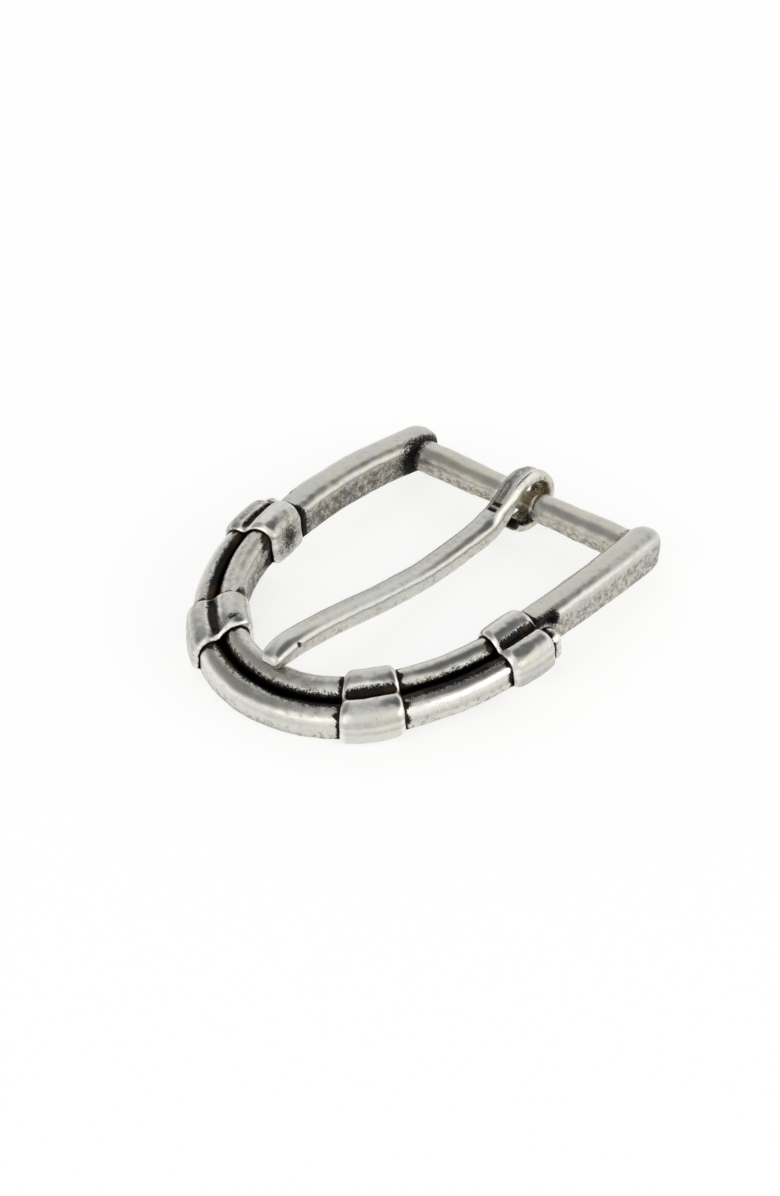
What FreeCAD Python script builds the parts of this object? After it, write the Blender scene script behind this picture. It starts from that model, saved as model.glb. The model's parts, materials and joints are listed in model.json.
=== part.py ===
import FreeCAD, Part
import math
import os

# Western-style belt buckle for a 35 mm strap, in millimetres.
#
# A horseshoe of two parallel rails forms the front. Four two-lobed collars bind the rails
# together, and the two rear collars also hold the side arms, whose tenons meet the ends of the
# inner rail inside them. A crossbar is pinned between the arms and carries the swinging prong.
#
# Frame: +X runs from the crossbar to the nose of the horseshoe, +Y to the right-hand arm and +Z
# up. The origin is on the table, under the middle of the buckle. The shapes are laid out from
# the crossbar forwards, so a distance "along" is measured from the crossbar's axis.

# Crossbar
BAR_X = -26.35           # crossbar axis from the origin
BAR_Z = 3.65             # height of the crossbar axis above the table
BAR_R = 2.3
BAR_HALF = 16.7          # full-round part, from the centre to one shoulder
NECK_R = 1.5             # waist that the prong's loop hangs on
NECK_HALF = 2.3
NECK_FLARE = 1.2         # length over which the bar narrows to its waist
TENON_R = 1.6            # bar end held in the arm
TENON_HALF = 20.6

STEP = 1.7               # spacing of the sections along a curved bar

# Plan line of the horseshoe, one half: three tangent arcs from the bar to the nose
LINE_Y = 20.0            # half spacing of the two plan lines at the bar
FLARE = math.radians(8.6)       # the line opens outward at the bar
SIDE_R = 113.0
SIDE_END = math.radians(-7.0)   # heading where the side arc ends
SHOULDER_R = 27.9
SHOULDER_END = math.radians(-42.3)

# Side view: the frame arches between its ends
ARCH_RISE = 2.4
FRAME_LENGTH = 56.0
BAR_END_LIFT = 1.25      # the prong's loop holds the bar end off the table

# Rails
INNER_W = 3.6
INNER_H = 5.25
OUTER_W = 3.44
OUTER_H = 4.05
RAIL_PITCH = 3.56
RAIL_EDGE_R = 0.5        # rounding of the flat underside's edges
OUTER_END = 2.3          # length of outer rail that shows behind the rear collar
OUTER_DOME = 0.3         # length of its domed end, as a share of the rail's width
DOME_ANGLES = (0.0, 20.0, 40.0, 60.0, 75.0)     # sections of a domed end

# Collars
COLLAR_WALL = 0.92
COLLAR_SOLE = 0.25
COLLAR_HALF = 3.5
COLLAR_EDGE = 0.55       # rounding of a collar's two ends
SOLE_TUCK = 0.6          # share of the sole lost in that rounding
REAR_COLLAR = 29.0       # collar centres along the plan line from the bar
FRONT_COLLAR = 49.4

# Side arms
ARM_W = 5.1
ARM_H_BAR = 5.55
ARM_H_COLLAR = 5.2
ARM_EYE = 3.9            # length of the rounded end behind the crossbar axis
ARM_CORNER = 1.9         # rounding of the eye end, seen from above
ARM_CORNER_SHARES = (0.0, 0.1, 0.3, 0.6, 1.0)   # sections of that rounding
ARM_CORNER_TAPER = 1.6   # width lost per millimetre of that rounding
ARM_TENON_ROOT = 1.0     # length of tenon that overlaps the arm
ARM_OUTSET = 0.2         # arm centre outside the plan line
ARM_RELIEF = 0.35        # room left round the end of the outer rail
ARM_RELIEF_LENGTH = 3.4

# Prong
PRONG_W = 3.9
PRONG_T = 3.5
TIP_W = 3.0
TIP_T = 1.9
STRAP_T = 1.5            # thickness of the flattened tail that forms the loop
LOOP_X = 0.52            # loop centre forward of the bar axis
LOOP_Z = 0.69            # loop centre above the bar axis
LOOP_LENGTH = 4.27       # half length of the loop's oval centreline
LOOP_HEIGHT = 3.6        # half height of it
LOOP_START = math.radians(48.0)     # where the shank runs into the loop
LOOP_END = math.radians(337.0)      # where the tail ends, close under the shank
# Shank centreline, forward of and above the bar axis, from the loop to the tip
SHANK = [(6.2, 0.75), (12.0, -0.44), (20.0, -0.43), (31.0, 1.04), (43.0, 3.35), (49.5, 4.03), (53.5, 3.73)]
BLEND = 5.5              # length over which the shank thins into the loop
TIP_LENGTH = 4.0         # length over which the shank tapers to its tip


def plan_arcs():
    """The three arcs of the half plan line as (radius, start heading, end heading)."""
    spent = SIDE_R * (math.cos(SIDE_END) - math.cos(FLARE))
    spent += SHOULDER_R * (math.cos(SHOULDER_END) - math.cos(SIDE_END))
    nose_r = (LINE_Y + spent) / math.cos(SHOULDER_END)
    return [
        (SIDE_R, FLARE, SIDE_END),
        (SHOULDER_R, SIDE_END, SHOULDER_END),
        (nose_r, SHOULDER_END, -math.pi / 2),
    ]


def half_length():
    return sum(radius * (start - end) for radius, start, end in plan_arcs())


def plan_point(distance):
    """Point and heading on the whole plan line: right arm, nose, then left arm."""
    half = half_length()
    mirrored = distance > half
    left = 2 * half - distance if mirrored else distance
    x = 0.0
    y = LINE_Y
    for radius, start, end in plan_arcs():
        turn = min(left / radius, start - end)
        heading = start - turn
        x += radius * (math.sin(start) - math.sin(heading))
        y += radius * (math.cos(heading) - math.cos(start))
        left -= radius * turn
        if left <= 1e-9:
            break
    x += left * math.cos(heading)
    y += left * math.sin(heading)
    if mirrored:
        return x, -y, -math.pi - heading
    return x, y, heading


def rise(along):
    """Height of the frame's underside above the table."""
    x = min(max(along, 0.0), FRAME_LENGTH)
    arch = ARCH_RISE * (1.0 - (2.0 * x / FRAME_LENGTH - 1.0) ** 2)
    return BAR_END_LIFT * (1.0 - x / FRAME_LENGTH) + arch


def d_section(distance, outset, width, height, drop=0.0, scale=1.0):
    """Round-topped, flat-bottomed section across the plan line, as a closed wire."""
    x, y, heading = plan_point(distance)
    out_x = -math.sin(heading)
    out_y = math.cos(heading)
    x += outset * out_x
    y += outset * out_y
    base = rise(x) - drop
    half = width / 2
    shoulder = height - half
    edge = min(RAIL_EDGE_R, 0.4 * shoulder)
    bevel = edge * (1.0 - math.sqrt(0.5))

    def place(across, up):
        across *= scale
        up = height / 2 + (up - height / 2) * scale
        return FreeCAD.Vector(BAR_X + x + across * out_x, y + across * out_y, base + up)

    left_foot = place(-half + edge, 0.0)
    right_foot = place(half - edge, 0.0)
    right_low = place(half, edge)
    right_high = place(half, shoulder)
    left_high = place(-half, shoulder)
    left_low = place(-half, edge)
    edges = [
        Part.LineSegment(left_foot, right_foot),
        Part.Arc(right_foot, place(half - bevel, bevel), right_low),
        Part.LineSegment(right_low, right_high),
        Part.Arc(right_high, place(0.0, height), left_high),
        Part.LineSegment(left_high, left_low),
        Part.Arc(left_low, place(-half + bevel, bevel), left_foot),
    ]
    return Part.Wire([edge_curve.toShape() for edge_curve in edges])


def spread(start, end, step):
    """Evenly spaced distances from start to end, about one step apart."""
    count = max(2, int(math.ceil(abs(end - start) / step)))
    return [start + (end - start) * i / count for i in range(count + 1)]


def rail(start, end, outset, width, height, drop=0.0):
    """A bar of constant section along the plan line."""
    sections = [d_section(d, outset, width, height, drop) for d in spread(start, end, STEP)]
    return Part.makeLoft(sections, True, True)


def round_end(distance, outset, width, height, length, toward, drop=0.0):
    """A domed end that grows from one section of a rail, in the direction toward."""
    sections = []
    for angle in map(math.radians, DOME_ANGLES):
        reach = toward * length * math.sin(angle)
        sections.append(d_section(distance + reach, outset, width, height, drop, math.cos(angle)))
    return Part.makeLoft(sections, True, True)


def lobe(centre, outset, width, height):
    """Outer skin of one lobe of a collar, with rounded ends."""
    flat_half = COLLAR_HALF - COLLAR_EDGE
    corner = [(-flat_half - COLLAR_EDGE * math.sin(a), a) for a in map(math.radians, (90, 45, 15, 0))]
    middle = [(reach, 0.0) for reach in spread(-flat_half, flat_half, STEP)[1:-1]]
    far_corner = [(-reach, angle) for reach, angle in reversed(corner)]
    sections = []
    for reach, angle in corner + middle + far_corner:
        tuck = 1.0 - math.cos(angle)
        wall = COLLAR_WALL - COLLAR_EDGE * tuck
        sole = COLLAR_SOLE * (1.0 - SOLE_TUCK * tuck)
        sections.append(d_section(centre + reach, outset, width + 2 * wall, height + wall + sole, sole))
    return Part.makeLoft(sections, True, True)


def collar(centre, inside):
    """A collar closed round the rails, and round an arm's tenon where there is one."""
    skin = lobe(centre, 0.0, INNER_W, INNER_H).fuse(lobe(centre, RAIL_PITCH, OUTER_W, OUTER_H))
    for piece in inside:
        skin = skin.cut(piece)
    return skin


def inner_rail():
    """Horseshoe bar between the middles of the two rear collars."""
    return rail(REAR_COLLAR, 2 * half_length() - REAR_COLLAR, 0.0, INNER_W, INNER_H)


def outer_rail():
    """Lower bar in front of the inner rail, with domed ends behind the rear collars."""
    reach = OUTER_DOME * OUTER_W
    start = REAR_COLLAR - COLLAR_HALF - OUTER_END + reach
    end = 2 * half_length() - start
    body = rail(start, end, RAIL_PITCH, OUTER_W, OUTER_H)
    first = round_end(start, RAIL_PITCH, OUTER_W, OUTER_H, reach, -1)
    last = round_end(end, RAIL_PITCH, OUTER_W, OUTER_H, reach, 1)
    return body.fuse([first, last])


def arm_blank(butt):
    """Side arm before it is fitted: flat-sided, with a rounded eye end at the crossbar."""
    sections = []
    for share in ARM_CORNER_SHARES:
        inset = ARM_CORNER * (1.0 - math.sqrt(1.0 - (1.0 - share) ** 2))
        width = ARM_W - ARM_CORNER_TAPER * inset
        sections.append(d_section(ARM_CORNER * share - ARM_EYE, ARM_OUTSET, width, ARM_H_BAR))
    for distance in spread(0.0, butt, STEP):
        height = ARM_H_BAR + (ARM_H_COLLAR - ARM_H_BAR) * distance / butt
        sections.append(d_section(distance, ARM_OUTSET, ARM_W, height))
    blank = Part.makeLoft(sections, True, True)

    half_height = ARM_H_BAR / 2
    outline = Part.Wire(Part.Ellipse(FreeCAD.Vector(0, 0, 0), ARM_EYE, half_height).toShape())
    eye = Part.Face(outline).extrude(FreeCAD.Vector(0, 0, 2 * LINE_Y))
    eye.rotate(FreeCAD.Vector(0, 0, 0), FreeCAD.Vector(1, 0, 0), -90)
    eye.translate(FreeCAD.Vector(BAR_X, 0.0, rise(0.0) + half_height))
    corner = FreeCAD.Vector(BAR_X, 0.0, -half_height)
    ahead = Part.makeBox(FRAME_LENGTH, 2 * LINE_Y, 4 * half_height, corner)
    return blank.common(eye.fuse(ahead))


def right_arm():
    """Side arm with room for the outer rail's end, a tenon for the collar and a crossbar socket."""
    butt = REAR_COLLAR - COLLAR_HALF
    relief_w = OUTER_W + 2 * ARM_RELIEF
    relief_h = OUTER_H + 2 * ARM_RELIEF
    dome = OUTER_DOME * relief_w
    start = butt - ARM_RELIEF_LENGTH + dome
    relief = rail(start, butt + STEP, RAIL_PITCH, relief_w, relief_h, ARM_RELIEF)
    relief_end = round_end(start, RAIL_PITCH, relief_w, relief_h, dome, -1, ARM_RELIEF)
    tenon = rail(butt - ARM_TENON_ROOT, REAR_COLLAR, 0.0, INNER_W, INNER_H)
    return arm_blank(butt).cut(relief).cut(relief_end).fuse(tenon).cut(crossbar())


def mirror(shape):
    """The left-hand twin of a right-hand piece."""
    return shape.mirror(FreeCAD.Vector(0, 0, 0), FreeCAD.Vector(0, 1, 0))


def crossbar():
    """Round bar with a waist for the prong's loop and a tenon at each end."""
    half_outline = [
        (TENON_HALF, 0.0),
        (TENON_HALF, TENON_R),
        (BAR_HALF, TENON_R),
        (BAR_HALF, BAR_R),
        (NECK_HALF + NECK_FLARE, BAR_R),
        (NECK_HALF, NECK_R),
    ]
    outline = half_outline + [(-y, radius) for y, radius in reversed(half_outline)]
    points = [FreeCAD.Vector(BAR_X, y, BAR_Z + radius) for y, radius in outline]
    face = Part.Face(Part.makePolygon(points + points[:1]))
    return face.revolve(FreeCAD.Vector(BAR_X, 0.0, BAR_Z), FreeCAD.Vector(0, 1, 0), 360.0)


def loop_point(angle):
    """Point on the loop's oval centreline, from the bar axis."""
    return LOOP_X + LOOP_LENGTH * math.cos(angle), LOOP_Z + LOOP_HEIGHT * math.sin(angle)


def loop_stations():
    """Stations from the tail's end, back under the bar and up over the top of the loop."""
    stations = []
    for angle in spread(LOOP_END, LOOP_START, math.radians(13.0))[:-1]:
        x, z = loop_point(angle)
        heading = math.atan2(-LOOP_HEIGHT * math.cos(angle), LOOP_LENGTH * math.sin(angle))
        stations.append((x, z, heading, PRONG_W, STRAP_T))
    return stations


def shank_curve():
    """Smooth centreline from the loop to the tip, in the plane through the middle of the prong."""
    points = [FreeCAD.Vector(x, 0, z) for x, z in [loop_point(LOOP_START)] + SHANK]
    fall = -LOOP_HEIGHT * math.cos(LOOP_START)
    out_of_loop = FreeCAD.Vector(LOOP_LENGTH * math.sin(LOOP_START), 0, fall)
    curve = Part.BSplineCurve()
    curve.interpolate(points, InitialTangent=out_of_loop * 1.5, FinalTangent=FreeCAD.Vector(6.0, 0, -0.8))
    return curve


def prong_line():
    """Stations of the prong's centreline from its tail end to its tip.

    Each is (forward, up, heading, width, thickness), measured from the bar axis.
    """
    stations = loop_stations()
    shank = shank_curve()
    length = shank.length()
    for distance in spread(0.0, length, STEP):
        u = shank.parameterAtDistance(distance, shank.FirstParameter)
        point = shank.value(u)
        direction = shank.tangent(u)[0]
        swell = min(distance / BLEND, 1.0)
        swell = swell * swell * (3.0 - 2.0 * swell)
        taper = max(0.0, 1.0 - (length - distance) / TIP_LENGTH) ** 2
        width = PRONG_W + (TIP_W - PRONG_W) * taper
        thick = STRAP_T + (PRONG_T - STRAP_T) * swell + (TIP_T - PRONG_T) * taper
        stations.append((point.x, point.z, math.atan2(direction.z, direction.x), width, thick))
    return stations


def oval_section(station):
    """Rounded section of the prong, square to its centreline."""
    forward, up, heading, width, thick = station
    centre = FreeCAD.Vector(BAR_X + forward, 0.0, BAR_Z + up)
    lift = FreeCAD.Vector(-math.sin(heading), 0.0, math.cos(heading))
    corner = 0.44 * min(width, thick)
    bevel = corner * (1.0 - math.sqrt(0.5))

    def place(across, above):
        return centre + FreeCAD.Vector(0, 1, 0) * across + lift * above

    curves = []
    for side, level in [(1, -1), (1, 1), (-1, 1), (-1, -1)]:
        y = side * width / 2
        z = level * thick / 2
        on_flat = place(y - side * corner, z)
        on_side = place(y, z - level * corner)
        middle = place(y - side * bevel, z - level * bevel)
        first, last = (on_flat, on_side) if side * level < 0 else (on_side, on_flat)
        curves.append((first, middle, last))
    edges = []
    for index, (first, middle, last) in enumerate(curves):
        edges.append(Part.Arc(first, middle, last).toShape())
        following = curves[(index + 1) % len(curves)][0]
        edges.append(Part.LineSegment(last, following).toShape())
    return Part.Wire(edges)


def prong():
    """Prong forged from one rod: shank, and a flattened tail curled round the crossbar."""
    return Part.makeLoft([oval_section(station) for station in prong_line()], True, True)


def build():
    inner = inner_rail()
    outer = outer_rail()
    arm = right_arm()
    rear = collar(REAR_COLLAR, [inner, outer, arm])
    front = collar(FRONT_COLLAR, [inner, outer])
    return {
        "inner_rail": inner,
        "outer_rail": outer,
        "right_arm": arm,
        "left_arm": mirror(arm),
        "right_rear_collar": rear,
        "left_rear_collar": mirror(rear),
        "right_front_collar": front,
        "left_front_collar": mirror(front),
        "crossbar": crossbar(),
        "prong": prong(),
    }


os.makedirs("parts", exist_ok=True)
for name, shape in build().items():
    shape.Solids[0].exportStep("parts/" + name + ".step")
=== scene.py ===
import json
import math

import bpy
import numpy as np
from mathutils import Matrix, Vector

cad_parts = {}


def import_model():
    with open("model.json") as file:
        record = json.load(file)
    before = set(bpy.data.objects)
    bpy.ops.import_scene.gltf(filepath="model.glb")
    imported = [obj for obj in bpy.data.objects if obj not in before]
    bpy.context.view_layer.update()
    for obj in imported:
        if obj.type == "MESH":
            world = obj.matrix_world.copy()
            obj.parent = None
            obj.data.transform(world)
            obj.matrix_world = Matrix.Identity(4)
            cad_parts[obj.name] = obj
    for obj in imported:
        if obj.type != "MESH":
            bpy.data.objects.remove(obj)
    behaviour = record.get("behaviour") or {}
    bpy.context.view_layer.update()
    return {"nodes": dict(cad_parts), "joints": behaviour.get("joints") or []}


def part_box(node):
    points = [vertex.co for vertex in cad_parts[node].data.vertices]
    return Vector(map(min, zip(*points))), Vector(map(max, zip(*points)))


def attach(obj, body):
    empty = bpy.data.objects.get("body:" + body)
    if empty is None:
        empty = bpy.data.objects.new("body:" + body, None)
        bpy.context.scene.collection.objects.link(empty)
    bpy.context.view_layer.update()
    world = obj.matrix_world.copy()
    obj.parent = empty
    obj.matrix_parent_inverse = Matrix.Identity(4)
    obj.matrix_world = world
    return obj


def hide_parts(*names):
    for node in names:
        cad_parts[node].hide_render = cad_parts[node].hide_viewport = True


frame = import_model()

# Western belt buckle: a horseshoe of two rails bound by four collars, two side arms, a crossbar
# and a swinging prong, in antique silver. Lengths in this script are millimetres in the row
# frame until a mesh is made. "along" is the distance along the plan line from the crossbar.
MM = 0.001

hinge = frame["joints"][0]["pos_m"]
BAR_X = hinge[0] / MM
BAR_Z = hinge[2] / MM

# Driving sizes of the frame
LINE_Y = 20.0
FLARE = math.radians(8.6)
SIDE_R = 113.0
SIDE_END = math.radians(-7.0)
SHOULDER_R = 27.9
SHOULDER_END = math.radians(-42.3)
ARCH_RISE = 2.4
FRAME_LENGTH = 56.0
BAR_END_LIFT = 1.25
INNER_W, INNER_H = 3.6, 5.25
OUTER_W, OUTER_H = 3.44, 4.05
RAIL_PITCH = 3.56
FOOT_R = 0.5
OUTER_TAIL = 2.3
COLLAR_WALL = 0.92
COLLAR_SOLE = 0.25
COLLAR_HALF = 3.5
COLLAR_EDGE = 1.05
COLLAR_DROP = 0.78
COLLAR_FILLET = 0.8
COLLAR_PILLOW = 0.22     # how far the skin falls away toward a collar's ends
COLLAR_THROUGH = 9.0     # deeper than any collar's wall
GROOVE = 2.42            # middle of the groove between a collar's lobes, out from the plan line
GROOVE_DEPTH = 0.36
REAR_COLLAR = 29.0
FRONT_COLLAR = 49.4
ARM_W = 5.1
ARM_H_BAR = 5.55
ARM_H_COLLAR = 5.2
ARM_OUTSET = 0.2
ARM_EYE = 3.95
RELIEF_START = 22.1
RELIEF_DEPTH = 1.15
BUTT = REAR_COLLAR - COLLAR_HALF

NOSE_R = (LINE_Y + SIDE_R * (math.cos(SIDE_END) - math.cos(FLARE))
          + SHOULDER_R * (math.cos(SHOULDER_END) - math.cos(SIDE_END))) / math.cos(SHOULDER_END)
ARCS = [(SIDE_R, FLARE, SIDE_END), (SHOULDER_R, SIDE_END, SHOULDER_END),
        (NOSE_R, SHOULDER_END, -math.pi / 2)]
HALF = sum(r * (a - b) for r, a, b in ARCS)


# ---------------------------------------------------------------- small maths
def smooth(x, low, high):
    t = np.clip((np.asarray(x, float) - low) / (high - low), 0.0, 1.0)
    return t * t * (3.0 - 2.0 * t)


def bump(x, centre, half_width):
    """1 at the centre, falling smoothly to 0 at the half width."""
    return 1.0 - smooth(np.abs(np.asarray(x, float) - centre), 0.0, half_width)


def waves(points, wavelength, seed, count=14):
    """Smooth random field of about unit size on points (..., 3)."""
    rng = np.random.RandomState(seed)
    directions = rng.normal(size=(count, 3))
    directions /= np.linalg.norm(directions, axis=1)[:, None]
    spread = rng.uniform(0.7, 1.5, count)
    phases = rng.uniform(0, 2 * math.pi, count)
    k = directions * (2 * math.pi / wavelength * spread)[:, None]
    return np.sin(points @ k.T + phases).sum(-1) * math.sqrt(2.0 / count)


def streaks(across, up, along, seed):
    """Fine lines that run along a piece: 0 to 1 where it is dulled, 0 to -1 where it is rubbed."""
    points = np.stack(np.broadcast_arrays(across, up, 0.07 * along), -1)
    return np.clip(waves(points, 1.5, seed), -1, 1)


def steps(*marks):
    """Distances with a chosen spacing in each span: steps((0, .5), (3, .1), (5,))."""
    out = []
    for (a, gap), following in zip(marks[:-1], marks[1:]):
        b = following[0]
        n = max(1, int(round((b - a) / gap)))
        out += [a + (b - a) * i / n for i in range(n)]
    return np.array(out + [marks[-1][0]])


# ---------------------------------------------------------------- plan line
def plan_line(along):
    """x, y and heading of the plan line, right arm to nose to left arm."""
    along = np.asarray(along, float)
    mirrored = along > HALF
    left = np.where(mirrored, 2 * HALF - along, along)
    x = np.zeros_like(left)
    y = np.full_like(left, LINE_Y)
    heading = np.full_like(left, FLARE)
    for i, (radius, start, end) in enumerate(ARCS):
        turn = np.minimum(left / radius, start - end)
        now = start - turn
        x = x + radius * (math.sin(start) - np.sin(now))
        y = y + radius * (np.cos(now) - math.cos(start))
        heading = np.where((turn != 0) | (i == 0), now, heading)
        left = left - radius * turn
        left = np.where(left < 1e-9, 0.0, left)
    return x, np.where(mirrored, -y, y), np.where(mirrored, -math.pi - heading, heading)


def rise(x):
    """Height of the frame's underside above the table: lifted at the bar, arched between."""
    t = np.clip(x, 0.0, FRAME_LENGTH) / FRAME_LENGTH
    return BAR_END_LIFT * (1 - t) + ARCH_RISE * (1 - (2 * t - 1) ** 2)


def place(along, across, up):
    """Point at a distance along, across (outward) and up from the frame's underside."""
    x, y, heading = plan_line(along)
    px = x - np.sin(heading) * across
    py = y + np.cos(heading) * across
    return np.stack([BAR_X + px, py, rise(px) + up], -1)


# ---------------------------------------------------------------- meshes
def ring_normals(grid, wrap_rows=False):
    """Unit normals of a grid of rings that is closed round the second direction."""
    around = np.roll(grid, -1, 1) - np.roll(grid, 1, 1)
    if wrap_rows:
        forward = np.roll(grid, -1, 0) - np.roll(grid, 1, 0)
    else:
        forward = np.gradient(grid, axis=0)
    normal = np.cross(around, forward)
    normal /= np.maximum(np.linalg.norm(normal, axis=-1, keepdims=True), 1e-9)
    centre = grid.mean(1, keepdims=True)
    if not wrap_rows and (normal * (grid - centre)).sum() < 0:
        normal = -normal
    return normal


def make_piece(name, grid, looks, material, body, replaced, wrap_rows=False):
    """Closed mesh from rings (rows, points, 3) in millimetres; looks are per-point fields."""
    rows, points = grid.shape[:2]
    verts = grid.reshape(-1, 3)
    index = np.arange(rows * points).reshape(rows, points)
    upper = np.roll(index, -1, 0) if wrap_rows else index[1:]
    lower = index if wrap_rows else index[:-1]
    quads = np.stack([lower, np.roll(lower, -1, 1), np.roll(upper, -1, 1), upper], -1).reshape(-1, 4)
    faces = quads.tolist()
    fields = {k: np.broadcast_to(v, (rows, points)).reshape(-1) for k, v in looks.items()}
    if not wrap_rows:
        middle = np.stack([grid[0].mean(0), grid[-1].mean(0)])
        first, last = rows * points, rows * points + 1
        verts = np.concatenate([verts, middle])
        for k in fields:
            edge = fields[k].reshape(rows, points)
            fields[k] = np.concatenate([fields[k], [edge[0].mean(), edge[-1].mean()]])
        faces += [[first, index[0][(i + 1) % points], index[0][i]] for i in range(points)]
        faces += [[last, index[-1][i], index[-1][(i + 1) % points]] for i in range(points)]
    a, b, c, d = (verts[quads[:, i]] for i in range(4))
    volume = (np.cross(b - a, c - a) * a).sum() + (np.cross(c - a, d - a) * a).sum()
    if volume < 0:
        faces = [f[::-1] for f in faces]
    mesh = bpy.data.meshes.new(name)
    mesh.from_pydata((verts * MM).tolist(), [], faces)
    mesh.validate()
    mesh.update()
    mesh.shade_smooth()
    for k, values in fields.items():
        attribute = mesh.attributes.new(k, "FLOAT", "POINT")
        attribute.data.foreach_set("value", np.clip(values, 0, 1).astype(np.float32))
    piece = bpy.data.objects.new(name, mesh)
    bpy.context.scene.collection.objects.link(piece)
    mesh.materials.append(material["material"])
    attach(piece, body)
    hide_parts(*replaced)


def d_ring(width, height, count=64):
    """Points of a round-topped section: across, up, and the angle round its top.

    The angle is 0 at the outer shoulder, 90 on top and 180 at the inner shoulder, and runs on
    below 0 and above 180 down the two sides.
    """
    r = width / 2
    shoulder = height - r
    pieces = []
    top = np.linspace(0, math.pi, count // 2 + 9)
    pieces.append((r * np.cos(top), shoulder + r * np.sin(top), np.degrees(top)))
    drop = np.linspace(0, 1, 9)[1:-1]
    side_z = shoulder + (FOOT_R - shoulder) * drop
    pieces.append((np.full_like(drop, -r), side_z, 180 + np.degrees((shoulder - side_z) / r)))
    foot = np.linspace(0, math.pi / 2, 5)
    low = 180 + math.degrees((shoulder - FOOT_R) / r)
    pieces.append((-r + FOOT_R * (1 - np.cos(foot)), FOOT_R * (1 - np.sin(foot)), low + foot * 15))
    flat = np.linspace(-r + FOOT_R, r - FOOT_R, 10)[1:-1]
    pieces.append((flat, np.zeros_like(flat), np.full_like(flat, 270.0)))
    pieces.append((r - FOOT_R * (1 - np.cos(foot[::-1])), FOOT_R * (1 - np.sin(foot[::-1])),
                   180 - low - foot[::-1] * 15))
    pieces.append((np.full_like(drop, r), side_z[::-1], -np.degrees((shoulder - side_z[::-1]) / r)))
    across, up, angle = (np.concatenate(p) for p in zip(*pieces))
    return across, up, angle


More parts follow.
